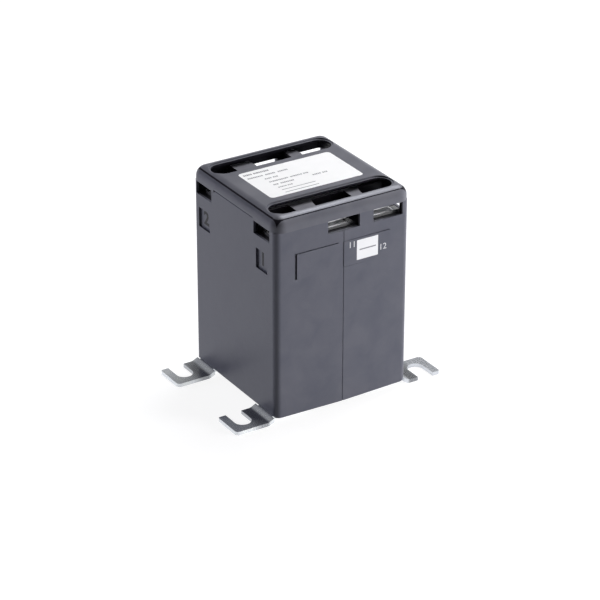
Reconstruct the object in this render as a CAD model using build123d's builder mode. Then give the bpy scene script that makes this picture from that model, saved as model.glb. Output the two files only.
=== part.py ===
import os
from math import cos, radians, sin, sqrt

from build123d import *

# A wound summation current transformer: a ring core with two input windings and one output
# winding, in a black moulded housing of two halves and a cap, with six screw terminals and four
# sheet metal feet. Millimetres, +Z up. The origin is on the feet's underside, at the middle of
# the plan. X runs across the parting line and Y runs from the front to the back.

os.makedirs("parts", exist_ok=True)

# Housing halves
body_width = 60.0
body_depth = 61.5
foot_lift = 2.3
wall = 2.2
floor_thickness = 5.6
draft_drop = 0.4
corner_radius = 2.5
end_edge_radii = {-1: 0.6, 1: 3.0}
lip_thickness = 1.0
lip_length = 1.2
lip_clearance = 0.1
parting_chamfer = 0.2
merge_depth = 1.0

# Cap
cap_height = 5.8
cap_overhang = 0.3
cap_wall = 1.5
cap_skirt = 2.0
cap_corner_radius = 4.6
cap_edge_radius = 4.2
cap_inner_radius = 2.0
cap_step_width = 28.4
cap_step_height = 0.8
cap_step_chamfer = 0.4
cap_joint_gap = 0.25
cap_tongue_width = 20.0
cap_tongue_length = 6.0
cap_tongue_thickness = 1.4
cap_tongue_gap = 0.25

# Long openings in the cap
slot_end_setback = 2.4
slot_width = 11.2
slot_ledge_width = 0.8
slot_ledge_depth = 0.6

# Terminal rows: setbacks of the screws, room round the clamps, barriers and wire entries
row_setback = 9.45
left_terminal_setback = 6.6
right_terminal_setback = 6.8
clamp_side_gap = 1.2
middle_well_room = 4.7
row_sides = {"front": -1, "rear": 1}
barrier_hollow_radius = 12.0
barrier_hollow_depth = 1.5
well_mouth_depth = 4.0
barrier_drop = 1.8
entry_height = 5.4
carrier_floor_thickness = 5.6
carrier_inner_wall = 1.9
carrier_inner_offset = 13.5
carrier_gap = 0.15
rail_depth = 2.6
rail_height = 4.0
end_entry_width = 11.4
end_entry_shift = 1.0
middle_entry = (-7.0, 7.2)
right_entry_reach = 7.6
right_entry_ends = {"front": 5.8, "rear": 7.2}

# Terminal bars, clamps and screws
bar_thickness = 1.2
bar_setback = 0.8
bar_lip_gap = 0.6
bar_lip_depth = 3.4
tail_width = 6.0
tail_length = 10.5
plate_setback = 1.5
bar_fit = 0.2
collar_radius = 3.4
collar_depth = 2.0
screw_radius = 2.0
screw_hole_clearance = 0.1
screw_length = 7.4
screw_tip_chamfer = 0.5
screw_head_radius = 4.0
screw_head_height = 2.6
screw_head_chamfer = 0.6
screw_slot_width = 1.0
screw_slot_depth = 1.3
clamp_width = 10.2
clamp_length = 8.6
clamp_thickness = 1.1
clamp_lip_rise = 0.45
clamp_lip_length = 1.0
clamp_gap = 0.9

# Feet
foot_sheet = 1.5
foot_length = 13.9
foot_reach = 17.0
foot_offset = 22.4
foot_slot_width = 7.0
foot_slot_inset = 6.85
foot_slot_wall = 3.6
foot_bend_start = 2.4
foot_bend_end = 0.1
foot_bend_radius = 3.5
foot_rise = 1.3
foot_tab_length = 17.0
foot_tab_width = 10.4
foot_clearance = 0.15
foot_corner_radius = 1.6
foot_tip_radius = 0.7
nib_radius = 1.8
nib_clearance = 0.2
nib_height = 1.3
nib_depth = 10.5

# Marking fields and labels
field_rise = 0.2
field_drop = 10.2
field_height = 10.5
left_field = (-20.9, -2.5)
right_field = (0.0, 20.9)
edge_groove_width = 0.5
edge_groove_drop = 0.35
line_groove_width = 0.25
line_groove_drop = 0.05
square_size = 8.2
square_depth = 0.8
square_drop = 10.8
rating_label_size = (41.6, 25.4)
rating_label_radius = 1.6
marking_label_size = (9.6, 8.3)
marking_label_place = 10.6
marking_label_drop = 15.2
label_thickness = 0.15

# Ring core, its cups and its windings
coil_side_gap = 1.45
lead_room = 8.3
core_bore = 11.0
core_width = 30.0
cup_wall = 1.2
secondary_thickness = 1.8
primary_thickness = 2.4
winding_gap = 0.1
secondary_arc = 336.0
primary_arc = 96.0
winding_chamfer = 1.0
coil_floor_gap = 0.4
parting_gap = 0.1
cradle_width = 9.0
cradle_half_length = 16.0
cradle_height = 9.0
hub_gap = 0.3
lead_radius = 1.0
lead_gap = 0.15
lead_start_rise = 4.0
lead_bend_radius = 1.6
primary_lead_setback = 1.63
secondary_lead_offset = 7.0
lead_starts = {"left": -8.0, "middle": -3.0, "right": 9.0}

# Half sizes of the housing, and offsets from the middle
half_width = body_width / 2
half_depth = body_depth / 2
end_half_depth = half_depth - draft_drop
inner_half_width = half_width - wall
row_offset = half_depth - row_setback
slot_length = body_width - 2 * slot_end_setback
terminal_places = {
    "left": -inner_half_width + left_terminal_setback,
    "middle": 0.0,
    "right": inner_half_width - right_terminal_setback,
}
clamp_room = clamp_width / 2 + clamp_side_gap
barrier_a = (
    terminal_places["left"] + clamp_room,
    terminal_places["middle"] - clamp_room + barrier_hollow_depth,
)
barrier_b = (
    terminal_places["middle"] + clamp_width / 2 + middle_well_room,
    terminal_places["right"] - clamp_room + barrier_hollow_depth,
)
bar_half_width = clamp_room - barrier_hollow_depth - bar_fit
bar_lip_half_width = right_terminal_setback - bar_setback
bar_end_lip_half_width = end_entry_width / 2 - bar_lip_gap
bar_front = half_depth - wall - bar_setback
carrier_half_length = inner_half_width - carrier_gap
carrier_outer_offset = end_half_depth - wall - carrier_gap
well_inner_offset = carrier_inner_offset + carrier_inner_wall
tail_offset = well_inner_offset + bar_thickness / 2 + bar_fit
nib_place = half_width - nib_depth

# Layers round the core, from the outermost winding inwards and out from the bore
primary_radius = end_half_depth - wall - coil_side_gap
secondary_radius = primary_radius - primary_thickness - winding_gap
cup_radius = secondary_radius - secondary_thickness - winding_gap
core_radius = cup_radius - cup_wall - winding_gap
cup_bore = core_bore - winding_gap - cup_wall
secondary_bore = cup_bore - winding_gap - secondary_thickness
primary_bore = secondary_bore - winding_gap - primary_thickness
cup_width = core_width + 2 * (winding_gap + cup_wall)
secondary_width = cup_width + 2 * (winding_gap + secondary_thickness)
primary_width = secondary_width + 2 * (winding_gap + primary_thickness)
primary_lead_offset = primary_radius * cos(radians(primary_arc / 2)) + primary_lead_setback

# Heights, stacked from the housing's floor over the coil and the terminals to the cap
shell_base = foot_lift
floor_top = shell_base + floor_thickness
coil_height = floor_top + coil_floor_gap + primary_radius
carrier_bottom = coil_height + primary_radius + lead_room
entry_bottom = carrier_bottom + carrier_floor_thickness
bar_top = entry_bottom + bar_thickness
clamp_bottom = bar_top + clamp_gap
clamp_top = clamp_bottom + clamp_thickness
shell_top = entry_bottom + entry_height
shell_height = shell_top - shell_base
cap_top = shell_top + cap_height
barrier_top = cap_top - cap_wall - barrier_drop
field_top = shell_top - field_drop
field_bottom = field_top - field_height
square_bottom = shell_top - square_drop - square_size
marking_label_centre = (marking_label_place, shell_top - marking_label_drop)
coil_axis = Axis((0, 0, coil_height), (1, 0, 0))


def finish(part, name):
    """Give the piece its name and write it."""
    part.label = name
    export_step(part, f"parts/{name}.step")


def wall_points(side, inset):
    """Half of the housing's plan on one side, drawn in from the outside by the inset."""
    return (
        (0, -half_depth + inset),
        (side * (half_width - inset), -end_half_depth + inset),
        (side * (half_width - inset), end_half_depth - inset),
        (0, half_depth - inset),
    )


def lip_outline(thickness):
    """The U that the parting lip follows: up both walls and across the floor."""
    outer_half = half_depth - wall + thickness
    with Locations((0, (floor_top - thickness + entry_bottom) / 2)):
        Rectangle(2 * outer_half, entry_bottom - floor_top + thickness)
    with Locations((0, (floor_top + entry_bottom) / 2)):
        Rectangle(2 * (half_depth - wall), entry_bottom - floor_top, mode=Mode.SUBTRACT)


def box_between(x_range, y_range, z_range, mode=Mode.SUBTRACT):
    """A box between the given limits, cut out of the piece or added to it."""
    ranges = [sorted(limits) for limits in (x_range, y_range, z_range)]
    middle = [sum(limits) / 2 for limits in ranges]
    size = [limits[1] - limits[0] for limits in ranges]
    with Locations(tuple(middle)):
        Box(*size, mode=mode)


def make_shell(side):
    """One half of the housing: side is -1 for the left half and 1 for the right half."""
    outer = side * half_width
    inner = side * inner_half_width
    past = side * (half_width + foot_reach)
    with BuildPart() as shell:
        with BuildSketch(Plane.XY.offset(shell_base)):
            with BuildLine():
                Polyline(*wall_points(side, 0), close=True)
            make_face()
        extrude(amount=shell_height)
        parting_edges = shell.edges().filter_by_position(Axis.X, 0, 0).sort_by(Axis.Z)
        chamfer(parting_edges[:-1], parting_chamfer)
        end_corners = shell.edges().filter_by(Axis.Z).sort_by(lambda edge: -abs(edge.center().X))
        fillet(end_corners[:2], corner_radius)

        # The underside falls towards the parting line, and its end edge is rounded
        with BuildSketch(Plane.XZ) as front_profile:
            with BuildLine():
                Polyline(
                    (0, shell_base),
                    (outer, shell_base + draft_drop),
                    (outer, shell_top),
                    (0, shell_top),
                    close=True,
                )
            make_face()
            lowest = front_profile.vertices().sort_by(Axis.Y)[:2]
            fillet(lowest.sort_by(lambda point: -abs(point.X))[:1], end_edge_radii[side])
        extrude(amount=body_depth, both=True, mode=Mode.INTERSECT)

        # Marking fields stand a little proud of the front and back walls
        field = left_field if side < 0 else right_field
        for face in (-1, 1):
            front_face = face * (half_depth + field_rise)
            behind = face * (end_half_depth - wall / 2)
            box_between(field, (front_face, behind), (field_bottom, field_top), Mode.ADD)

        # Fine grooves: down the end edge of the left fields, and over or under each field
        for face in (-1, 1):
            past_face = face * body_depth
            line = (past_face, face * (end_half_depth - line_groove_drop))
            if side < 0:
                groove_end = field[0] - edge_groove_width
                line_heights = (field_top, field_top + line_groove_width)
                box_between((groove_end, field[1]), line, line_heights)
                edge = (past_face, face * (end_half_depth - edge_groove_drop))
                box_between((groove_end, field[0]), edge, (field_bottom, line_heights[1]))
            else:
                box_between(field, line, (field_bottom - line_groove_width, field_bottom))

        # The middle of the end wall stands up into a step of the cap, its outer edge chamfered
        step_range = (-cap_step_width / 2, cap_step_width / 2)
        step_heights = (shell_top - merge_depth, shell_top + cap_step_height)
        box_between((outer, inner), step_range, step_heights, Mode.ADD)
        step_edges = shell.edges().filter_by(Axis.Y).group_by(Axis.Z)[-1]
        chamfer(step_edges.sort_by(lambda edge: -abs(edge.center().X))[:1], cap_step_chamfer)

        # Room for the coil and the terminal rows
        with BuildSketch(Plane.XY.offset(floor_top)):
            with BuildLine():
                Polyline(*wall_points(side, wall), close=True)
            make_face()
        extrude(amount=shell_height, mode=Mode.SUBTRACT)

        # Cradle under the coil, and half of the hub through its bore
        cradle = (side * parting_gap, side * cradle_width)
        cradle_span = (-cradle_half_length, cradle_half_length)
        box_between(cradle, cradle_span, (floor_top - merge_depth, floor_top + cradle_height), Mode.ADD)
        with BuildSketch(Plane.YZ):
            with Locations((0, coil_height)):
                Circle(secondary_radius + hub_gap)
        extrude(amount=side * cradle_width, mode=Mode.SUBTRACT)
        with BuildSketch(Plane.YZ.offset(side * parting_gap)):
            with Locations((0, coil_height)):
                Circle(primary_bore - hub_gap)
        extrude(amount=side * (inner_half_width - parting_gap + wall / 2))

        # Rails that carry the ends of the terminal rows
        for row in (-1, 1):
            rail = (row * carrier_inner_offset, row * (end_half_depth - wall / 2))
            rail_top = carrier_bottom - carrier_gap
            rail_reach = (inner + side * wall / 2, inner - side * rail_depth)
            box_between(rail_reach, rail, (rail_top - rail_height, rail_top), Mode.ADD)

        # Parting lip: a tongue on the left half, a rebate in the right half
        if side < 0:
            with BuildSketch(Plane.YZ.offset(-lip_length)):
                lip_outline(lip_thickness)
            extrude(amount=2 * lip_length)
        else:
            with BuildSketch(Plane.YZ):
                lip_outline(lip_thickness + lip_clearance)
            extrude(amount=lip_length + lip_clearance, mode=Mode.SUBTRACT)

        # Wire entries, open upwards to the cap
        entry_span = (entry_bottom, shell_top + 2 * cap_step_height)
        for name, row in row_sides.items():
            far = row * (body_depth + foot_length)
            near = row * (half_depth - 2 * wall)
            end_middle = row * row_offset - side * end_entry_shift
            end_entry = (end_middle - end_entry_width / 2, end_middle + end_entry_width / 2)
            box_between((past, inner - side * wall / 2), end_entry, entry_span)
            box_between(middle_entry, (near, far), entry_span)
            if side > 0:
                right_place = terminal_places["right"]
                right_entry = (right_place - right_entry_reach, right_place + right_entry_ends[name])
                box_between(right_entry, (near, far), entry_span)

        # Pockets for the feet, each with a nib that the foot's hole snaps over
        pocket_bottom = foot_rise - foot_clearance
        pocket_top = foot_rise + foot_sheet + foot_clearance
        pocket_end = side * (half_width - foot_tab_length - foot_clearance)
        pocket_half = foot_tab_width / 2 + foot_clearance
        for y in (-foot_offset, foot_offset):
            box_between((past, pocket_end), (y - pocket_half, y + pocket_half), (pocket_bottom, pocket_top))
            with BuildSketch(Plane.XY.offset(pocket_top)):
                with Locations((side * nib_place, y)):
                    Circle(nib_radius)
            extrude(amount=-nib_height)

        if side < 0:
            # Two square marking recesses under the end entries
            for row in (-1, 1):
                square_middle = row * row_offset - side * end_entry_shift
                square = (square_middle - square_size / 2, square_middle + square_size / 2)
                heights = (square_bottom, square_bottom + square_size)
                box_between((outer, outer - side * square_depth), square, heights)
        else:
            # Seat of the small label, in the front marking field
            label_face = half_depth + field_rise
            with BuildSketch(Plane.XZ.offset(label_face)):
                with Locations(marking_label_centre):
                    Rectangle(*marking_label_size)
            extrude(amount=-label_thickness, mode=Mode.SUBTRACT)
    return shell.part


finish(make_shell(-1), "left_shell")
finish(make_shell(1), "right_shell")

with BuildPart() as top_cap:
    cap_width = body_width + 2 * cap_overhang
    cap_depth = body_depth + 2 * cap_overhang
    with BuildSketch(Plane.XY.offset(shell_top)):
        RectangleRounded(cap_width, cap_depth, cap_corner_radius)
    extrude(amount=cap_height)
    fillet(top_cap.edges().group_by(Axis.Z)[-1], cap_edge_radius)

    # Hollow underside with rounded inner edges
    with BuildSketch(Plane.XY.offset(shell_top)):
        RectangleRounded(
            cap_width - 2 * cap_skirt,
            cap_depth - 2 * cap_skirt,
            cap_corner_radius - cap_skirt,
        )
    extrude(amount=cap_height - cap_wall, mode=Mode.SUBTRACT)
    ceiling = cap_top - cap_wall
    fillet(top_cap.edges().filter_by_position(Axis.Z, ceiling, ceiling), cap_inner_radius)

    # Long openings with a narrow ledge all round
    with BuildSketch(Plane.XY.offset(cap_top)):
        with Locations((0, -row_offset), (0, row_offset)):
            SlotOverall(slot_length, slot_width)
    extrude(amount=-slot_ledge_depth, mode=Mode.SUBTRACT)
    with BuildSketch(Plane.XY.offset(cap_top)):
        with Locations((0, -row_offset), (0, row_offset)):
            SlotOverall(slot_length - 2 * slot_ledge_width, slot_width - 2 * slot_ledge_width)
    extrude(amount=-2 * cap_wall, mode=Mode.SUBTRACT)

    # Seat of the rating label
    with BuildSketch(Plane.XY.offset(cap_top)):
        RectangleRounded(*rating_label_size, rating_label_radius)
    extrude(amount=-label_thickness, mode=Mode.SUBTRACT)

    # Steps that take the raised middle of the end walls, and the tongues behind those walls
    step_half = cap_step_width / 2 + cap_joint_gap
    tongue_half = cap_tongue_width / 2
    tongue_outer = inner_half_width - cap_tongue_gap
    tongue_inner = tongue_outer - cap_tongue_thickness
    tongue_heights = (shell_top - cap_tongue_length, cap_top - cap_wall / 2)
    for side in (-1, 1):
        step_heights = (shell_top, shell_top + cap_step_height + cap_joint_gap)
        box_between((side * tongue_outer, side * cap_width), (-step_half, step_half), step_heights)
        tongue = (side * tongue_outer, side * tongue_inner)
        box_between(tongue, (-tongue_half, tongue_half), tongue_heights, Mode.ADD)

finish(top_cap.part, "top_cap")

with BuildPart() as rating_label:
    with BuildSketch(Plane.XY.offset(cap_top - label_thickness)):
        RectangleRounded(*rating_label_size, rating_label_radius)
    extrude(amount=label_thickness)

finish(rating_label.part, "rating_label")

with BuildPart() as marking_label:
    with BuildSketch(Plane.XZ.offset(half_depth + field_rise - label_thickness)):
        with Locations(marking_label_centre):
            Rectangle(*marking_label_size)
    extrude(amount=label_thickness)

finish(marking_label.part, "marking_label")


def make_carrier(row):
    """The moulded block under one long opening: floor, barriers and three wells."""
    block = (row * carrier_inner_offset, row * carrier_outer_offset)
    past = row * half_depth
    ends = (-carrier_half_length, carrier_half_length)
    with BuildPart() as carrier:
        box_between(ends, block, (carrier_bottom, barrier_top), Mode.ADD)
        wells = (
            (-body_width, barrier_a[0]),
            (barrier_a[1], barrier_b[0]),
            (barrier_b[1], body_width),
        )
        for left, right in wells:
            box_between((left, right), (row * well_inner_offset, past), (entry_bottom, cap_top))

        # The barriers are hollowed on their right, and cut back behind the wire entries
        mouth = (row * (carrier_outer_offset - well_mouth_depth), past)
        for left, right in (barrier_a, barrier_b):
            hollow = right - barrier_hollow_depth
            with BuildSketch(Plane.XY.offset(entry_bottom)):
                with Locations((hollow + barrier_hollow_radius, row * row_offset)):
                    Circle(barrier_hollow_radius)
                with Locations((hollow + 1.5 * barrier_hollow_radius, row * row_offset)):
                    Rectangle(barrier_hollow_radius, 2 * barrier_hollow_radius, mode=Mode.SUBTRACT)
                with Locations((0, row * (well_inner_offset - barrier_hollow_radius))):
                    Rectangle(body_width * 2, 2 * barrier_hollow_radius, mode=Mode.SUBTRACT)
            extrude(amount=cap_height + entry_height, mode=Mode.SUBTRACT)
            box_between((hollow, right), mouth, (entry_bottom, cap_top))

        for place in terminal_places.values():
            # Slot for the bar's tail, and a stepped hole for its collar and the screw's end
            tail = (place - tail_width / 2 - bar_fit, place + tail_width / 2 + bar_fit)
            tail_reach = (
                row * (tail_offset - bar_thickness / 2 - bar_fit),
                row * (tail_offset + bar_thickness / 2 + plate_setback),
            )
            box_between(tail, tail_reach, (carrier_bottom, entry_bottom))
            collar_hole = collar_depth - bar_thickness + 2 * bar_fit
            screw_hole = screw_length - clamp_top + entry_bottom + 2 * bar_fit
            with Locations(Plane((place, row * row_offset, entry_bottom))):
                Hole(collar_radius + bar_fit, depth=collar_hole + bar_fit)
                Hole(screw_radius + bar_fit, depth=screw_hole)
    return carrier.part


for name, row in row_sides.items():
    finish(make_carrier(row), f"terminal_carrier_{name}")


def make_bar(row, place_name):
    """A bent terminal bar: the contact plate, its lip, its screw collar and its tail."""
    place = terminal_places[place_name]
    heights = (entry_bottom, bar_top)
    plate_end = row * (tail_offset - bar_thickness / 2)
    with BuildPart() as bar:
        plate = (place - bar_half_width, place + bar_half_width)
        box_between(plate, (row * bar_front, row * (tail_offset + plate_setback)), heights, Mode.ADD)

        # The lip lies behind the wire entry: the left terminals' entries are in the end wall
        if place_name == "left":
            lip_end = inner_half_width - bar_setback
            lip_middle = row * row_offset
            lip = (lip_middle - bar_end_lip_half_width, lip_middle + bar_end_lip_half_width)
            box_between((-lip_end, place), lip, heights, Mode.ADD)
        else:
            lip = (place - bar_lip_half_width, place + bar_lip_half_width)
            box_between(lip, (row * bar_front, row * (bar_front - bar_lip_depth)), heights, Mode.ADD)

        # The tail, bent down through the carrier's floor
        with BuildSketch(Plane.YZ.offset(place - tail_width / 2)):
            with BuildLine():
                Polyline(
                    (row * row_offset, bar_top),
                    (plate_end, bar_top),
                    (plate_end, bar_top - tail_length),
                    (plate_end + row * bar_thickness, bar_top - tail_length),
                    (plate_end + row * bar_thickness, entry_bottom),
                    (row * row_offset, entry_bottom),
                    close=True,
                )
            make_face()
        extrude(amount=tail_width)
        outer_bend = bar.edges().filter_by(Axis.X).group_by(Axis.Z)[-1]
        fillet(outer_bend.sort_by(lambda edge: abs(edge.center().Y))[:1], bar_thickness)

        with BuildSketch(Plane.XY.offset(bar_top - collar_depth)):
            with Locations((place, row * row_offset)):
                Circle(collar_radius)
        extrude(amount=collar_depth)
        with BuildSketch(Plane.XY.offset(bar_top)):
            with Locations((place, row * row_offset)):
                Circle(screw_radius + screw_hole_clearance)
        extrude(amount=-2 * collar_depth, mode=Mode.SUBTRACT)
    return bar.part


def make_clamp(row, place):
    """A square clamp whose two side edges turn up."""
    flat_half = clamp_width / 2 - clamp_lip_length
    with BuildPart() as clamp:
        with BuildSketch(Plane.XZ.offset(-row * row_offset - clamp_length / 2)):
            with BuildLine():
                Polyline(
                    (place - flat_half, clamp_bottom),
                    (place - clamp_width / 2, clamp_bottom + clamp_lip_rise),
                    (place - clamp_width / 2, clamp_top + clamp_lip_rise),
                    (place - flat_half, clamp_top),
                    (place + flat_half, clamp_top),
                    (place + clamp_width / 2, clamp_top + clamp_lip_rise),
                    (place + clamp_width / 2, clamp_bottom + clamp_lip_rise),
                    (place + flat_half, clamp_bottom),
                    close=True,
                )
            make_face()
        extrude(amount=clamp_length)
        with BuildSketch(Plane.XY.offset(clamp_bottom)):
            with Locations((place, row * row_offset)):
                Circle(screw_radius + screw_hole_clearance)
        extrude(amount=clamp_thickness, mode=Mode.SUBTRACT)
    return clamp.part


def make_screw(row, place):
    """A pan head clamping screw with crossed slots; its thread is left plain."""
    head_top = clamp_top + screw_head_height
    centre = (place, row * row_offset)
    with BuildPart() as screw:
        with BuildSketch(Plane.XY.offset(clamp_top)):
            with Locations(centre):
                Circle(screw_head_radius)
        extrude(amount=screw_head_height)
        chamfer(screw.edges().group_by(Axis.Z)[-1], screw_head_chamfer)
        with BuildSketch(Plane.XY.offset(clamp_top)):
            with Locations(centre):
                Circle(screw_radius)
        extrude(amount=-screw_length)
        chamfer(screw.edges().group_by(Axis.Z)[0], screw_tip_chamfer)
        with BuildSketch(Plane.XY.offset(head_top)):
            with Locations(centre):
                Rectangle(2 * screw_head_radius, screw_slot_width)
                Rectangle(screw_slot_width, screw_head_radius)
        extrude(amount=-screw_slot_depth, mode=Mode.SUBTRACT)
    return screw.part


for row_name, row in row_sides.items():
    for place_name, place in terminal_places.items():
        finish(make_bar(row, place_name), f"terminal_bar_{row_name}_{place_name}")
        finish(make_clamp(row, place), f"clamp_{row_name}_{place_name}")
        finish(make_screw(row, place), f"terminal_screw_{row_name}_{place_name}")


def make_foot(side, y):
    """A stamped foot: its tab, its bend and its flat, with a slot open towards one end."""
    middle = foot_sheet / 2
    outer = half_width + foot_reach
    bend_out = half_width + foot_bend_start
    open_way = -side
    with BuildPart() as foot:
        with BuildSketch(Plane.XZ.offset(-y - foot_length / 2)):
            with BuildLine():
                FilletPolyline(
                    (side * outer, middle),
                    (side * bend_out, middle),
                    (side * (half_width - foot_bend_end), foot_rise + middle),
                    (side * (half_width - foot_tab_length), foot_rise + middle),
                    radius=foot_bend_radius,
                )
            trace(line_width=foot_sheet)
        extrude(amount=foot_length)

        # The slot: a round end, then straight sides out to the edge
        slot_x = side * (outer - foot_slot_inset)
        slot_y = y - open_way * (foot_length / 2 - foot_slot_wall - foot_slot_width / 2)
        slot_run = foot_length
        with BuildSketch(Plane.XY):
            with Locations((slot_x, slot_y)):
                Circle(foot_slot_width / 2)
            with Locations((slot_x, slot_y + open_way * slot_run / 2)):
                Rectangle(foot_slot_width, slot_run)
        extrude(amount=foot_sheet, mode=Mode.SUBTRACT)

        # Inside the housing the sheet narrows to a tab
        tab_root = side * (half_width + foot_bend_end)
        tab_end = side * (half_width - 2 * foot_tab_length)
        tab_heights = (0, 2 * (foot_rise + foot_sheet))
        for edge in (-1, 1):
            beside = (y + edge * foot_tab_width / 2, y + edge * foot_length)
            box_between((tab_root, tab_end), beside, tab_heights)

        # Hole in the tab for the housing's nib
        with BuildSketch(Plane.XY.offset(foot_rise)):
            with Locations((side * nib_place, y)):
                Circle(nib_radius + nib_clearance)
        extrude(amount=foot_sheet, mode=Mode.SUBTRACT)

        upright = foot.edges().filter_by(Axis.Z)
        outside = upright.filter_by(lambda edge: abs(abs(edge.center().X) - outer) < foot_sheet / 2)
        by_open_way = outside.sort_by(lambda edge: open_way * edge.center().Y)
        fillet(by_open_way[:1], foot_corner_radius)
        fillet(by_open_way[-1:], foot_tip_radius)
    return foot.part


for side_name, side in {"left": -1, "right": 1}.items():
    for row_name, row in row_sides.items():
        finish(make_foot(side, row * foot_offset), f"foot_{row_name}_{side_name}")


def radial_plane(angle):
    """A plane through the coil's axis, turned from upright towards the front by the angle."""
    turn = radians(angle)
    return Plane(origin=(0, 0, coil_height), x_dir=(1, 0, 0), z_dir=(0, -cos(turn), -sin(turn)))


def ring_section(bore, radius, width):
    """A rectangle to be turned about the coil's axis."""
    with Locations((0, (bore + radius) / 2)):
        Rectangle(width, radius - bore)


with BuildPart() as core:
    with BuildSketch(radial_plane(0)):
        ring_section(core_bore, core_radius, core_width)
    revolve(axis=coil_axis)

finish(core.part, "core")


def make_cup(side):
    """One of the two insulating cups that close round the core."""
    with BuildPart() as cup:
        with BuildSketch(radial_plane(0)):
            ring_section(cup_bore, cup_radius, cup_width)
            ring = (core_bore - winding_gap, core_radius + winding_gap, core_width + 2 * winding_gap)
            with Locations((0, (ring[0] + ring[1]) / 2)):
                Rectangle(ring[2], ring[1] - ring[0], mode=Mode.SUBTRACT)
            with Locations((-side * cup_width / 2, cup_radius / 2)):
                Rectangle(cup_width, 2 * cup_radius, mode=Mode.SUBTRACT)
        revolve(axis=coil_axis)
    return cup.part


finish(make_cup(-1), "core_cup_left")
finish(make_cup(1), "core_cup_right")


def make_winding(bore, radius, width, thickness, start, arc):
    """A layer of wire wound round the ring, over part of a turn about the coil's axis."""
    inner_width = width - 2 * thickness
    with BuildPart() as winding:
        with BuildSketch(radial_plane(start)) as section:
            ring_section(bore, radius, width)
            chamfer(section.vertices(), winding_chamfer)
            with Locations((0, (bore + radius) / 2)):
                Rectangle(inner_width, radius - bore - 2 * thickness, mode=Mode.SUBTRACT)
        revolve(axis=coil_axis, revolution_arc=arc)
    return winding.part


secondary_size = (secondary_bore, secondary_radius, secondary_width, secondary_thickness)
secondary_start = (360 - secondary_arc) / 2
finish(make_winding(*secondary_size, secondary_start, secondary_arc), "secondary_winding")

primary_size = (primary_bore, primary_radius, primary_width, primary_thickness)
for row_name, row in row_sides.items():
    start = 180 + row * 90 - primary_arc / 2
    finish(make_winding(*primary_size, start, primary_arc), f"primary_winding_{row_name}")


def make_lead(row, place_name, start_y, coil_radius):
    """A lead from the coil's outside up to the tail of a terminal bar."""
    place = terminal_places[place_name]
    start_x = lead_starts[place_name]
    surface_rise = sqrt(coil_radius**2 - (start_y - lead_radius) ** 2)
    start_z = coil_height + surface_rise + lead_gap
    joint_z = bar_top - tail_length - lead_radius
    end_y = row * (tail_offset - bar_thickness / 2 - lead_radius - lead_gap)
    with BuildPart() as lead:
        with BuildLine() as route:
            FilletPolyline(
                (start_x, row * start_y, start_z),
                (start_x, row * start_y, start_z + lead_start_rise),
                (place, end_y, joint_z),
                (place, end_y, carrier_bottom - lead_gap),
                radius=lead_bend_radius,
            )
        with BuildSketch(Plane(route.line @ 0, z_dir=route.line % 0)):
            Circle(lead_radius)
        sweep()
    return lead.part


for row_name, row in row_sides.items():
    finish(make_lead(row, "left", secondary_lead_offset, secondary_radius), f"lead_{row_name}_left")
    for place_name in ("middle", "right"):
        lead = make_lead(row, place_name, primary_lead_offset, primary_radius)
        finish(lead, f"lead_{row_name}_{place_name}")
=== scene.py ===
import math

import bmesh
import bpy
from mathutils import Matrix, Vector


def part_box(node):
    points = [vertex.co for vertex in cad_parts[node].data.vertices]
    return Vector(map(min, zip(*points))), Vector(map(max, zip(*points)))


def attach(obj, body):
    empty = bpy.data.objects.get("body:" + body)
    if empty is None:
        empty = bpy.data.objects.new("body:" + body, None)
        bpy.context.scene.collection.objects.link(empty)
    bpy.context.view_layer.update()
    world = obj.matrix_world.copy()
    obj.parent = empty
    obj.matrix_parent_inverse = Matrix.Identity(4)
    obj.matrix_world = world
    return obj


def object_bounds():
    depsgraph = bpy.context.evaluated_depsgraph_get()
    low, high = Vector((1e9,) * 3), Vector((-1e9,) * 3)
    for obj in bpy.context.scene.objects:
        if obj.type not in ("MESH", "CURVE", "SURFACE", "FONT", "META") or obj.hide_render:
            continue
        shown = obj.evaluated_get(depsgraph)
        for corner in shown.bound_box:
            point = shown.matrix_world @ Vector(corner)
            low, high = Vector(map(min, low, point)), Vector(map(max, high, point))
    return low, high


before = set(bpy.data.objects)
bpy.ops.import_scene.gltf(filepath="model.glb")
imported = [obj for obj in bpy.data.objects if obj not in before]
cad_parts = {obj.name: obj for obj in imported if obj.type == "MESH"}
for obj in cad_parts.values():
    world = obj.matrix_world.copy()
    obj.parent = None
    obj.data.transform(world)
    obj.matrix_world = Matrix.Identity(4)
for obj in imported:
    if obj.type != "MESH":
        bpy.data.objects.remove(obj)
cad_low, cad_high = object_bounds()

# The looks of a wound current transformer: black moulded housing and cap, white labels,
# plated terminals and zinc plated feet. Metres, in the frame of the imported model.
MM = 0.001
WHITE = (1.0, 1.0, 1.0)

# Camera: where it looks, from how far and from which side in degrees, and its lens and sensor
# in millimetres
CAMERA_TARGET = (-0.16 * MM, 0.0, 32.9 * MM)
CAMERA_DISTANCE = 1028.2 * MM
CAMERA_AZIMUTH = -32.15
CAMERA_ELEVATION = 27.02
CAMERA_ROLL = 0.09
CAMERA_LENS = 157.3
CAMERA_SENSOR = 36.0
CAMERA_CLIP = (0.05, 20.0)

# Studio: size and colour of the floor, how white it is lifted, the grey of the room above the
# backdrop and between which heights it sets in, and the light from all round
FLOOR_SIZE = 8.0
FLOOR_COLOUR = (0.22, 0.22, 0.23)
FLOOR_LIFT = 0.89
ROOM_GREY = 0.25
ROOM_HEIGHTS = (0.04, 0.24)
AMBIENT = 0.03

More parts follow.
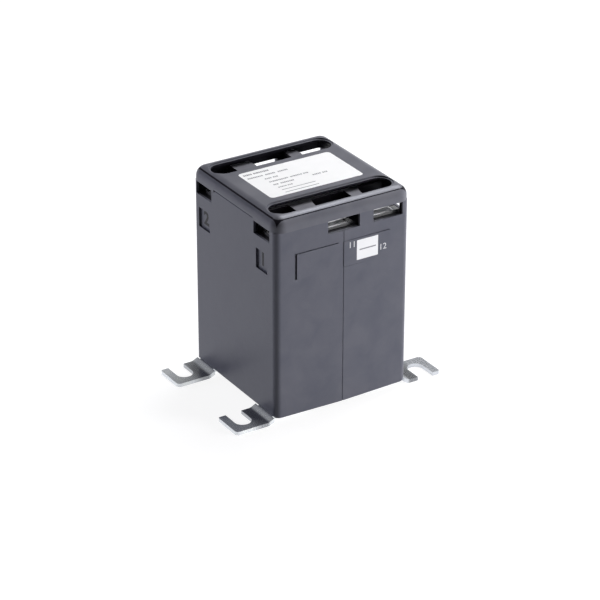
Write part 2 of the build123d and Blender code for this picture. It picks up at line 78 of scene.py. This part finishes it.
# Lamps: azimuth and elevation in degrees, distance and size in metres, power in watts, whether
# reflections show the lamp, and its colour
COOL_WHITE = (0.84, 0.85, 1.0)
LAMPS = {
    "top_light": (115, 57, 0.75, 0.4, 5.7, True, WHITE),
    "front_light": (50, 8, 0.9, 0.26, 11.3, False, WHITE),
    "left_back_light": (-140, 8, 0.9, 0.3, 4.5, False, COOL_WHITE),
}

# The range that most of a noise's values lie in, and how far gloss strays round its mean
NOISE_RANGE = (0.3, 0.7)
GLOSS_SPREAD = (-0.04, 0.05)

# Relief: strength and depth
GRAIN_RELIEF = (0.2, 0.05 * MM)
ROLLING_RELIEF = (0.04, 0.02 * MM)
PEEL_RELIEF = (0.08, 0.02 * MM)
TURNS_RELIEF = (0.6, 0.2 * MM)

# Moulded plastic: size of its flow clouds, its gloss outside and on the inner walls, where
# painted shade lowers it, and the tint of that gloss
FLOW_SIZE = 9 * MM
PLASTIC_SHEEN = 0.46
WELL_SHADE_SHEEN = 0.12
PLASTIC_TINT = (0.84, 0.87, 1.0)

# Painted shade on the walls inside the housing: where it starts along X, Y and Z, the height that
# the barriers' tops, which it spares, lie above, and how far up a face that counts as a top points
WELL_SHADE_LIMITS = (29.0 * MM, 29.6 * MM, 86.1 * MM)
BARRIER_LEVEL = 83.2 * MM
UPWARD = 0.8

# Plated metal: size of its clouds, and its palest plating and painted shade, as shares of its colour
PLATING_SIZE = 2.5 * MM
PALE_PLATING = 1.15
BEND_SHADE_SHARE = 0.45

# Between which places along X the painted shade on the feet sets in by the riser and fades out past
# the bend
FOOT_RISER = (31.8 * MM, 32.8 * MM)
FOOT_BEND = (35.5 * MM, 40.0 * MM)

# Label film: gloss, size of its clouds and of its orange peel, and its shade in the clouds
FILM_ROUGHNESS = 0.35
FILM_CLOUD_SIZE = 6 * MM
PEEL_SIZE = 0.8 * MM
WARM_FILM = 0.97

# Enamelled wire: gloss and coat, and the radians that a wave texture of scale 1 turns in a metre
WIRE_ROUGHNESS = 0.3
WIRE_COAT = 0.6
WAVE_RADIANS = 20

# Ink: gloss, size of its uneven cover, and the share and lift of its colour where it is thin
INK_ROUGHNESS = 0.45
INK_SHEEN = 0.2
INK_COVER_SIZE = 0.5 * MM
THIN_INK = 1.25
THIN_INK_LIFT = 0.02

# Rows of print on the rating label: distance from the back edge, height of the bars, and the
# start and length of each run from the left edge, in millimetres
RATING_ROWS = (
    (2.6, 1.1, ((1.4, 3.8), (5.8, 6.4))),
    (5.8, 0.9, ((1.4, 2.4), (4.4, 3.4), (9.2, 4.2), (14.8, 4.2))),
    (9.2, 0.8, ((7.0, 2.8), (10.6, 1.6))),
    (12.4, 0.9, ((7.0, 4.6), (12.4, 3.0), (16.4, 4.8), (22.2, 1.8))),
    (15.4, 0.9, ((7.0, 2.2), (10.2, 5.6), (24.6, 3.6), (29.0, 1.8))),
    (18.3, 0.8, ((7.4, 3.2), (11.6, 2.0))),
)
LETTER_WIDTHS = (0.55, 0.4, 0.65, 0.45)
LETTER_GAP = 0.25

# Ruled lines under those rows: distances from the back edge and ends from the left edge, in
# millimetres, and their height
RULED_ROWS = (20.9, 23.4)
RULED_SPAN = (7.4, 22.4)
RULE_HEIGHT = 0.4 * MM

# The line on the small label: its place from the label's middle, and its size
MARKING_LINE_PLACE = (0.1 * MM, 0.0)
MARKING_LINE_SIZE = (7.4 * MM, 0.5 * MM)

# How far the middle of the print lies off its face, and how thick it is
PRINT_LIFT = 0.012 * MM
PRINT_THICKNESS = 0.02 * MM

# Numbers on the front: digits and place along X and Z, in millimetres, and their height
FRONT_NUMBERS = {"front_number_1": ("11", 3.65, 68.6), "front_number_2": ("12", 17.6, 64.4)}
FRONT_NUMBER_HEIGHT = 2.5 * MM

# Numbers in the end squares: digits and place along Y, in millimetres, their middle's level,
# their height, how far their strokes are widened, and the depth of the squares
END_NUMBERS = {"end_number_1": ("1", -20.1), "end_number_2": ("2", 21.9)}
END_NUMBER_LEVEL = 66.4 * MM
END_NUMBER_HEIGHT = 5.4 * MM
END_NUMBER_WEIGHT = 0.24 * MM
SQUARE_DEPTH = 0.8 * MM

# Height of a digit as a share of the font's size, and the steps in each of its curves
DIGIT_SHARE = 0.7
CURVE_STEPS = 4


def toned(colour, share, lift=0.0):
    """The colour made paler or darker."""
    return tuple(min(1.0, channel * share + lift) for channel in colour)


def node_material(name, metallic, colour, roughness):
    """A new material with a principled shader; returns the material, its nodes, links and shader."""
    material = bpy.data.materials.new(name)
    material.use_nodes = True
    nodes = material.node_tree.nodes
    shader = nodes["Principled BSDF"]
    shader.inputs["Metallic"].default_value = metallic
    shader.inputs["Base Color"].default_value = (*colour, 1.0)
    shader.inputs["Roughness"].default_value = roughness
    return material, nodes, material.node_tree.links, shader


def object_coordinates(nodes, links, stretch=(1.0, 1.0, 1.0)):
    """Coordinates in the row frame, stretched along each axis."""
    coordinates = nodes.new("ShaderNodeTexCoord")
    mapping = nodes.new("ShaderNodeMapping")
    mapping.inputs["Scale"].default_value = stretch
    links.new(coordinates.outputs["Object"], mapping.inputs["Vector"])
    return mapping.outputs["Vector"]


def split_axes(nodes, links, vector):
    """The X, Y and Z of a vector."""
    parts = nodes.new("ShaderNodeSeparateXYZ")
    links.new(vector, parts.inputs["Vector"])
    return parts.outputs


def noise(nodes, links, vector, size, detail=2.0, distortion=0.0):
    """Noise whose features are about the given size in metres."""
    texture = nodes.new("ShaderNodeTexNoise")
    texture.inputs["Scale"].default_value = 1.0 / size
    texture.inputs["Detail"].default_value = detail
    texture.inputs["Distortion"].default_value = distortion
    links.new(vector, texture.inputs["Vector"])
    return texture.outputs["Fac"]


def remap(nodes, links, value, low, high, source=NOISE_RANGE):
    """The value carried from the source range to the one between low and high."""
    ranged = nodes.new("ShaderNodeMapRange")
    ranged.inputs["From Min"].default_value = source[0]
    ranged.inputs["From Max"].default_value = source[1]
    ranged.inputs["To Min"].default_value = low
    ranged.inputs["To Max"].default_value = high
    links.new(value, ranged.inputs["Value"])
    return ranged.outputs["Result"]


def maths(nodes, links, operation, first, second, clamp=False):
    """The result of one operation on two sockets or plain numbers."""
    node = nodes.new("ShaderNodeMath")
    node.operation = operation
    node.use_clamp = clamp
    for socket, value in zip(node.inputs, (first, second)):
        if isinstance(value, bpy.types.NodeSocket):
            links.new(value, socket)
        else:
            socket.default_value = value
    return node.outputs["Value"]


def ray_kinds(nodes, links, *kinds):
    """1 for rays of the given kinds, 0 for all others."""
    path = nodes.new("ShaderNodeLightPath")
    total = path.outputs[kinds[0]]
    for kind in kinds[1:]:
        total = maths(nodes, links, "ADD", total, path.outputs[kind], clamp=True)
    return total


def blend_colours(nodes, links, factor, first, second):
    """A colour between two others."""
    mix = nodes.new("ShaderNodeMix")
    mix.data_type = "RGBA"
    for name, colour in (("A", first), ("B", second)):
        if isinstance(colour, bpy.types.NodeSocket):
            links.new(colour, mix.inputs[name])
        else:
            mix.inputs[name].default_value = (*colour, 1.0)
    links.new(factor, mix.inputs["Factor"])
    return mix.outputs["Result"]


def bump(nodes, links, shader, height, relief):
    """Surface relief from a height, with the given strength and depth."""
    strength, depth = relief
    node = nodes.new("ShaderNodeBump")
    node.inputs["Strength"].default_value = strength
    node.inputs["Distance"].default_value = depth
    links.new(height, node.inputs["Height"])
    links.new(node.outputs["Normal"], shader.inputs["Normal"])


def uneven_gloss(nodes, links, shader, pattern, roughness):
    """Roughness that strays round its mean as the pattern does."""
    gloss = remap(nodes, links, pattern, *(roughness + step for step in GLOSS_SPREAD))
    links.new(gloss, shader.inputs["Roughness"])


def painted_well_shade(nodes, links):
    """Painted shade mask: 1 on the walls inside the housing, where shade falls, 0 on its outside and
    on the tops of the barriers.
    """
    place = split_axes(nodes, links, object_coordinates(nodes, links))
    geometry = nodes.new("ShaderNodeNewGeometry")
    facing = split_axes(nodes, links, geometry.outputs["True Normal"])
    side_limits, top_limit = WELL_SHADE_LIMITS[:2], WELL_SHADE_LIMITS[2]
    inside = maths(nodes, links, "LESS_THAN", place["Z"], top_limit)
    for axis, limit in zip("XY", side_limits):
        distance = maths(nodes, links, "ABSOLUTE", place[axis], 0.0)
        within = maths(nodes, links, "LESS_THAN", distance, limit)
        inside = maths(nodes, links, "MULTIPLY", inside, within)
    high_up = maths(nodes, links, "GREATER_THAN", place["Z"], BARRIER_LEVEL)
    upward = maths(nodes, links, "GREATER_THAN", facing["Z"], UPWARD)
    barrier_top = maths(nodes, links, "MULTIPLY", high_up, upward)
    return maths(nodes, links, "SUBTRACT", inside, barrier_top, clamp=True)


def moulded_plastic(name, dark, light, roughness, grain_size=0.35 * MM, well_shade_colour=None):
    """Moulded plastic with an eroded grain, faint flow clouds and uneven gloss, and painted shade with
    lowered gloss on the walls inside the housing where a shade colour is given.
    """
    material, nodes, links, shader = node_material(name, 0.0, dark, roughness)
    vector = object_coordinates(nodes, links)
    clouds = noise(nodes, links, vector, FLOW_SIZE, detail=4.0, distortion=0.4)
    grain = noise(nodes, links, vector, grain_size, detail=3.0)
    shade = remap(nodes, links, clouds, 0.0, 1.0)
    colour = blend_colours(nodes, links, shade, dark, light)
    # Painted shade: the walls inside the housing take a near-black colour and less gloss, standing in
    # for the shade in the wells.
    if well_shade_colour is not None:
        well_shade = painted_well_shade(nodes, links)
        colour = blend_colours(nodes, links, well_shade, colour, well_shade_colour)
        sheen = remap(nodes, links, well_shade, PLASTIC_SHEEN, WELL_SHADE_SHEEN, source=(0.0, 1.0))
        links.new(sheen, shader.inputs["Specular IOR Level"])
        shader.inputs["Specular Tint"].default_value = (*PLASTIC_TINT, 1.0)
    links.new(colour, shader.inputs["Base Color"])
    uneven_gloss(nodes, links, shader, clouds, roughness)
    bump(nodes, links, shader, grain, GRAIN_RELIEF)
    return material


def foot_bend_shade(nodes, links, vector):
    """Painted shade mask: 1 on the flat of a foot beside its bend, 0 on the riser and towards the tip.
    """
    place = split_axes(nodes, links, vector)
    across = maths(nodes, links, "ABSOLUTE", place["X"], 0.0)
    flat = remap(nodes, links, across, 0.0, 1.0, source=FOOT_RISER)
    near_bend = remap(nodes, links, across, 1.0, 0.0, source=FOOT_BEND)
    return maths(nodes, links, "MULTIPLY", flat, near_bend)


def sheet_metal(name, colour, roughness, streak, size=0.5 * MM, metallic=1.0, shaded_bend=False):
    """Plated metal with fine rolling marks along one axis and cloudy plating, and painted shade on a
    foot's flat beside its bend where asked.
    """
    material, nodes, links, shader = node_material(name, metallic, colour, roughness)
    even = object_coordinates(nodes, links)
    marks = noise(nodes, links, object_coordinates(nodes, links, streak), size, detail=3.0)
    clouds = noise(nodes, links, even, PLATING_SIZE, detail=4.0, distortion=0.6)
    shade = remap(nodes, links, clouds, 0.0, 1.0)
    cover = blend_colours(nodes, links, shade, colour, toned(colour, PALE_PLATING))
    # Painted shade: the flat beside the bend is darkened, standing in for the shade where the foot
    # meets the housing.
    if shaded_bend:
        bend_shade = foot_bend_shade(nodes, links, even)
        cover = blend_colours(nodes, links, bend_shade, cover, toned(colour, BEND_SHADE_SHARE))
    links.new(cover, shader.inputs["Base Color"])
    uneven_gloss(nodes, links, shader, marks, roughness)
    bump(nodes, links, shader, marks, ROLLING_RELIEF)
    return material


def label_film(name, colour):
    """Smooth white film with a faint orange peel."""
    material, nodes, links, shader = node_material(name, 0.0, colour, FILM_ROUGHNESS)
    vector = object_coordinates(nodes, links)
    clouds = noise(nodes, links, vector, FILM_CLOUD_SIZE, detail=3.0)
    shade = remap(nodes, links, clouds, 0.0, 1.0)
    film = blend_colours(nodes, links, shade, toned(colour, WARM_FILM), colour)
    links.new(film, shader.inputs["Base Color"])
    peel = noise(nodes, links, vector, PEEL_SIZE)
    bump(nodes, links, shader, peel, PEEL_RELIEF)
    return material


def wound_wire(name, dark, light, radian_length):
    """Turns of enamelled wire round the ring, as a wave that turns one radian in a given length."""
    material, nodes, links, shader = node_material(name, 0.0, dark, WIRE_ROUGHNESS)
    shader.inputs["Coat Weight"].default_value = WIRE_COAT
    turns = nodes.new("ShaderNodeTexWave")
    turns.wave_type = "RINGS"
    turns.rings_direction = "X"
    turns.inputs["Scale"].default_value = 1.0 / radian_length / WAVE_RADIANS
    turns.inputs["Distortion"].default_value = 0.4
    links.new(object_coordinates(nodes, links), turns.inputs["Vector"])
    shade = remap(nodes, links, turns.outputs["Fac"], 0.0, 1.0, source=(0.0, 1.0))
    links.new(blend_colours(nodes, links, shade, dark, light), shader.inputs["Base Color"])
    bump(nodes, links, shader, turns.outputs["Fac"], TURNS_RELIEF)
    return material


def printed_ink(name, colour):
    """Flat ink with slightly uneven cover."""
    material, nodes, links, shader = node_material(name, 0.0, colour, INK_ROUGHNESS)
    shader.inputs["Specular IOR Level"].default_value = INK_SHEEN
    cover = noise(nodes, links, object_coordinates(nodes, links), INK_COVER_SIZE, detail=3.0)
    shade = remap(nodes, links, cover, 0.0, 1.0)
    ink = blend_colours(nodes, links, shade, colour, toned(colour, THIN_INK, THIN_INK_LIFT))
    links.new(ink, shader.inputs["Base Color"])
    return material


# Plastics: the housing, the cap, the terminal carriers, the core's cups and the leads' sleeves
# The last colour given to the housing, the cap and the carriers is painted shade for their walls
# inside the housing.
housing_plastic = moulded_plastic(
    "black_moulding", (0.080, 0.083, 0.106), (0.106, 0.107, 0.130), 0.38, well_shade_colour=(0.010, 0.009, 0.013)
)
# Painted light: the cap is a paler copy of the housing's black plastic, standing in for the light on
# its top and rim.
cap_plastic = moulded_plastic(
    "cap_moulding", (0.102, 0.104, 0.124), (0.130, 0.130, 0.150), 0.38, well_shade_colour=(0.010, 0.009, 0.013)
)
# Painted light: the carriers' plastic is paler than the housing's, standing in for the light on the
# barrier tops.
carrier_plastic = moulded_plastic(
    "carrier_moulding", (0.150, 0.148, 0.170), (0.180, 0.178, 0.200), 0.45, well_shade_colour=(0.008, 0.007, 0.010)
)
white_cup = moulded_plastic("white_insulation", (0.70, 0.70, 0.67), (0.76, 0.76, 0.73), 0.5)
lead_sleeve = moulded_plastic("lead_sleeving", (0.10, 0.10, 0.11), (0.13, 0.13, 0.14), 0.4, 0.2 * MM)

# Metals: the feet in the housing's shade, made paler as painted light, and those in the light,
# made darker as painted shade; the clamps and screws, the terminal bars and the core
zinc_shaded = sheet_metal(
    "zinc_sheet_left", (0.84, 0.87, 0.92), 0.24, (1.0, 9.0, 1.0), metallic=0.7, shaded_bend=True
)
zinc_lit = sheet_metal(
    "zinc_sheet_right", (0.60, 0.62, 0.66), 0.26, (1.0, 9.0, 1.0), metallic=0.95, shaded_bend=True
)
zinc_bright = sheet_metal(
    "zinc_bright", (0.92, 0.93, 0.96), 0.18, (4.0, 1.0, 1.0), size=0.3 * MM, metallic=0.4
)
nickel = sheet_metal(
    "nickel_plate", (0.92, 0.93, 0.96), 0.12, (6.0, 1.0, 1.0), size=0.3 * MM, metallic=0.9
)
core_steel = sheet_metal("core_strip", (0.30, 0.31, 0.33), 0.42, (1.0, 12.0, 12.0), size=0.6 * MM)

# Windings, labels and inks
heavy_wire = wound_wire("primary_wire", (0.36, 0.12, 0.035), (0.62, 0.24, 0.08), 1.4 * MM)
fine_wire = wound_wire("secondary_wire", (0.40, 0.15, 0.05), (0.66, 0.28, 0.10), 0.7 * MM)
rating_film = label_film("white_label", (0.96, 0.96, 0.97))
marking_film = label_film("small_label", (0.86, 0.86, 0.89))
grey_ink = printed_ink("grey_print", (0.22, 0.22, 0.24))
white_ink = printed_ink("white_print", (0.60, 0.60, 0.63))
dark_ink = printed_ink("dark_print", (0.012, 0.012, 0.015))

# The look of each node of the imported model, by the first entry that its name starts with
NODE_LOOKS = {
    "terminal_carrier": carrier_plastic,
    "terminal_bar": nickel,
    "terminal_screw": zinc_bright,
    "clamp": zinc_bright,
    "foot_front_left": zinc_shaded,
    "foot_rear_left": zinc_shaded,
    "foot": zinc_lit,
    "core_cup": white_cup,
    "core": core_steel,
    "secondary_winding": fine_wire,
    "primary_winding": heavy_wire,
    "lead": lead_sleeve,
    "rating_label": rating_film,
    "marking_label": marking_film,
    "left_shell": housing_plastic,
    "right_shell": housing_plastic,
    "top_cap": cap_plastic,
}
for node_name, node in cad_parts.items():
    look = next(material for start, material in NODE_LOOKS.items() if node_name.startswith(start))
    node.data.materials.clear()
    node.data.materials.append(look)


def place_piece(name, mesh, material):
    """A new piece from a mesh, which rides on the root body."""
    mesh.materials.clear()
    mesh.materials.append(material)
    piece = bpy.data.objects.new(name, mesh)
    bpy.context.scene.collection.objects.link(piece)
    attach(piece, "root")


def add_print(name, draw):
    """A piece of grey print on a label, drawn by the given function."""
    mesh = bpy.data.meshes.new(name)
    builder = bmesh.new()
    draw(builder)
    builder.to_mesh(mesh)
    builder.free()
    place_piece(name, mesh, grey_ink)


def add_bar(builder, plane, centre, size):
    """A thin block of print: its centre and size on the label's own plane."""
    scale = Matrix.Diagonal((*size, PRINT_THICKNESS, 1.0))
    move = Matrix.Translation((*centre, PRINT_LIFT))
    bmesh.ops.create_cube(builder, size=1.0, matrix=plane @ move @ scale)


def add_number(name, digits, plane, height, material, weight=0.0):
    """A plain printed number, as a mesh; weight is how far its strokes are widened."""
    curve = bpy.data.curves.new(name + "_text", "FONT")
    curve.body = digits
    curve.size = height / DIGIT_SHARE
    curve.align_x = "CENTER"
    curve.align_y = "CENTER"
    curve.extrude = PRINT_THICKNESS / 2
    curve.offset = weight
    curve.resolution_u = CURVE_STEPS
    source = bpy.data.objects.new(name + "_source", curve)
    bpy.context.scene.collection.objects.link(source)
    bpy.context.view_layer.update()
    mesh = bpy.data.meshes.new_from_object(source)
    bpy.data.objects.remove(source)
    mesh.transform(plane)
    place_piece(name, mesh, material)


# Print on the rating label
label_low, label_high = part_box("rating_label")
label_centre = (label_low + label_high) / 2
label_size = label_high - label_low
rating_plane = Matrix.Translation((label_centre.x, label_centre.y, label_high.z))


def rating_point(across, down):
    """A place on the rating label, from millimetres off its left and back edges."""
    return (across * MM - label_size.x / 2, label_size.y / 2 - down * MM)


def rating_print(builder):
    """Runs of small bars and two ruled lines."""
    for down, height, runs in RATING_ROWS:
        for start, length in runs:
            across, letter = start, 0
            while across < start + length:
                width = LETTER_WIDTHS[letter % len(LETTER_WIDTHS)]
                middle = rating_point(across + width / 2, down)
                add_bar(builder, rating_plane, middle, (width * MM, height * MM))
                across += width + LETTER_GAP
                letter += 1
    left, right = RULED_SPAN
    for down in RULED_ROWS:
        middle = rating_point((left + right) / 2, down)
        add_bar(builder, rating_plane, middle, ((right - left) * MM, RULE_HEIGHT))


add_print("rating_print", rating_print)

# The line on the small label, and the numbers beside it
mark_low, mark_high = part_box("marking_label")
mark_centre = (mark_low + mark_high) / 2
front_face = mark_low.y
front_turn = Matrix.Rotation(math.radians(90), 4, "X")
marking_plane = Matrix.Translation((mark_centre.x, front_face, mark_centre.z)) @ front_turn


def marking_line(builder):
    """One ruled line across the small label."""
    add_bar(builder, marking_plane, MARKING_LINE_PLACE, MARKING_LINE_SIZE)


add_print("marking_line", marking_line)

for name, (digits, x, z) in FRONT_NUMBERS.items():
    plane = Matrix.Translation((x * MM, front_face - PRINT_LIFT, z * MM)) @ front_turn
    add_number(name, digits, plane, FRONT_NUMBER_HEIGHT, white_ink)

# The numbers in the square recesses of the left end
shell_low, shell_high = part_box("left_shell")
square_floor = shell_low.x + SQUARE_DEPTH
end_turn = Matrix.Rotation(math.radians(-90), 4, "Z") @ front_turn
for name, (digits, y) in END_NUMBERS.items():
    plane = Matrix.Translation((square_floor - PRINT_LIFT, y * MM, END_NUMBER_LEVEL)) @ end_turn
    add_number(name, digits, plane, END_NUMBER_HEIGHT, dark_ink, END_NUMBER_WEIGHT)


def floor_material():
    """Grey floor that keeps soft shadows and is lifted to the white of the background."""
    material, nodes, links, shader = node_material("studio_floor", 0.0, FLOOR_COLOUR, 0.8)
    shader.inputs["Emission Color"].default_value = (*WHITE, 1.0)
    seen = ray_kinds(nodes, links, "Is Camera Ray", "Is Glossy Ray", "Is Transmission Ray")
    lift = maths(nodes, links, "MULTIPLY", seen, FLOOR_LIFT)
    links.new(lift, shader.inputs["Emission Strength"])
    return material


def add_floor():
    """A square of floor under the object."""
    mesh = bpy.data.meshes.new("studio_floor")
    half = FLOOR_SIZE / 2
    corners = [(-half, -half, 0.0), (half, -half, 0.0), (half, half, 0.0), (-half, half, 0.0)]
    mesh.from_pydata(corners, [], [(0, 1, 2, 3)])
    mesh.materials.append(floor_material())
    floor = bpy.data.objects.new("studio_floor", mesh)
    bpy.context.scene.collection.objects.link(floor)


def add_world():
    """A backdrop that is white to the eye and low down in reflections, and a grey room above it."""
    world = bpy.data.worlds.new("studio_world")
    bpy.context.scene.world = world
    world.use_nodes = True
    nodes, links = world.node_tree.nodes, world.node_tree.links
    background = nodes["Background"]
    background.inputs["Color"].default_value = (*WHITE, 1.0)
    direction = nodes.new("ShaderNodeTexCoord")
    height = split_axes(nodes, links, direction.outputs["Generated"])["Z"]
    room = remap(nodes, links, height, 1.0, ROOM_GREY, source=ROOM_HEIGHTS)
    plain = ray_kinds(nodes, links, "Is Camera Ray", "Is Transmission Ray")
    mirrored = ray_kinds(nodes, links, "Is Glossy Ray")
    seen_room = maths(nodes, links, "MULTIPLY", mirrored, room)
    seen = maths(nodes, links, "ADD", plain, seen_room)
    links.new(maths(nodes, links, "MAXIMUM", seen, AMBIENT), background.inputs["Strength"])


def direction_to(azimuth, elevation):
    """The direction from the object to the given side and height, both in degrees."""
    turn, rise = math.radians(azimuth), math.radians(elevation)
    level = math.cos(rise)
    return Vector((math.sin(turn) * level, -math.cos(turn) * level, math.sin(rise)))


def add_lamp(name, azimuth, elevation, distance, size, power, mirrored, colour):
    """A square lamp that faces the object's middle, shown in reflections or not."""
    light = bpy.data.lights.new(name, "AREA")
    light.color = colour
    light.shape = "SQUARE"
    light.size = size
    light.energy = power
    lamp = bpy.data.objects.new(name, light)
    bpy.context.scene.collection.objects.link(lamp)
    away = direction_to(azimuth, elevation)
    lamp.location = away * distance + Vector((0.0, 0.0, cad_high.z / 2))
    lamp.rotation_euler = (-away).to_track_quat("-Z", "Y").to_euler()
    lamp.visible_glossy = mirrored


def add_camera():
    """The camera that takes the photo's view."""
    data = bpy.data.cameras.new("photo_camera")
    data.lens = CAMERA_LENS
    data.sensor_width = CAMERA_SENSOR
    data.clip_start, data.clip_end = CAMERA_CLIP
    camera = bpy.data.objects.new("photo_camera", data)
    bpy.context.scene.collection.objects.link(camera)
    away = direction_to(CAMERA_AZIMUTH, CAMERA_ELEVATION)
    camera.location = Vector(CAMERA_TARGET) + away * CAMERA_DISTANCE
    level = (-away).to_track_quat("-Z", "Y").to_matrix().to_4x4()
    roll = Matrix.Rotation(math.radians(CAMERA_ROLL), 4, "Z")
    camera.rotation_euler = (level @ roll).to_euler()
    bpy.context.scene.camera = camera


add_floor()
add_world()
for name, settings in LAMPS.items():
    add_lamp(name, *settings)
add_camera()

bpy.context.scene.view_settings.view_transform = "Standard"
